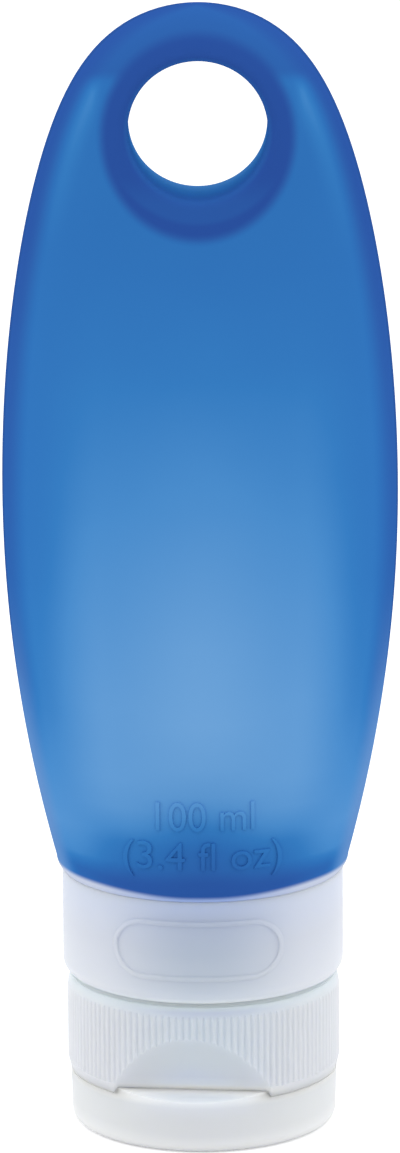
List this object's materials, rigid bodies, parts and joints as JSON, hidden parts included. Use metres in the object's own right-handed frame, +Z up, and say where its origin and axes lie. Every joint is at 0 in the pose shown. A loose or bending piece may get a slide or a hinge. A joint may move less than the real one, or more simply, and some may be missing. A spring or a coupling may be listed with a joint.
{
  "type": "travel bottle",
  "caption": "Soft squeeze travel bottle, flattened to a hang hole at one end, standing on a flip-top screw cap at the other.",
  "frame": {"origin": "on the surface the bottle stands on, under the middle of its flat lid", "axes": "+Z up along the bottle, from the lid to the hang hole; -Y to the front, where the thumb notch is; +X to the right seen from the front"},
  "size_m": [0.0546, 0.0425, 0.1579],
  "materials": {
    "silicone_blue": "translucent satin",
    "plastic_white": "translucent satin",
    "plastic_natural": "natural, satin",
    "gasket_foam": "closed-cell foam",
    "silicone_clear": "clear silicone"
  },
  "bodies": {
    "cap": {"screw_cap": "plastic_white", "slit_valve": "silicone_clear", "valve_retainer": "plastic_natural", "hinge_film": "plastic_white"},
    "washer": {"neck_gasket": "gasket_foam"},
    "bottle": {"bottle_body": "silicone_blue", "neck_insert": "plastic_natural", "neck_collar": "plastic_white"},
    "lid": {"flip_lid": "plastic_white"}
  },
  "joints": [
    {"name": "cap_lift", "type": "slide", "parent": "cap", "child": "washer", "axis": [0, 0, 1], "range_m": [0, 0.0128]},
    {"name": "cap_turn", "type": "hinge", "parent": "washer", "child": "bottle", "pos_m": [0, 0, 0.02], "axis": [0, 0, 1], "range_deg": [0, 1440]},
    {"name": "lid_flip", "type": "hinge", "parent": "cap", "child": "lid", "pos_m": [0.00203, 0.01932, 0.00755], "axis": [0.9945, -0.1045, 0], "range_deg": [0, 175], "deforming": ["hinge_film"]}
  ],
  "couplings": [
    {"joint": "cap_lift", "follows": "cap_turn", "m_per_rad": 0.0005093}
  ]
}
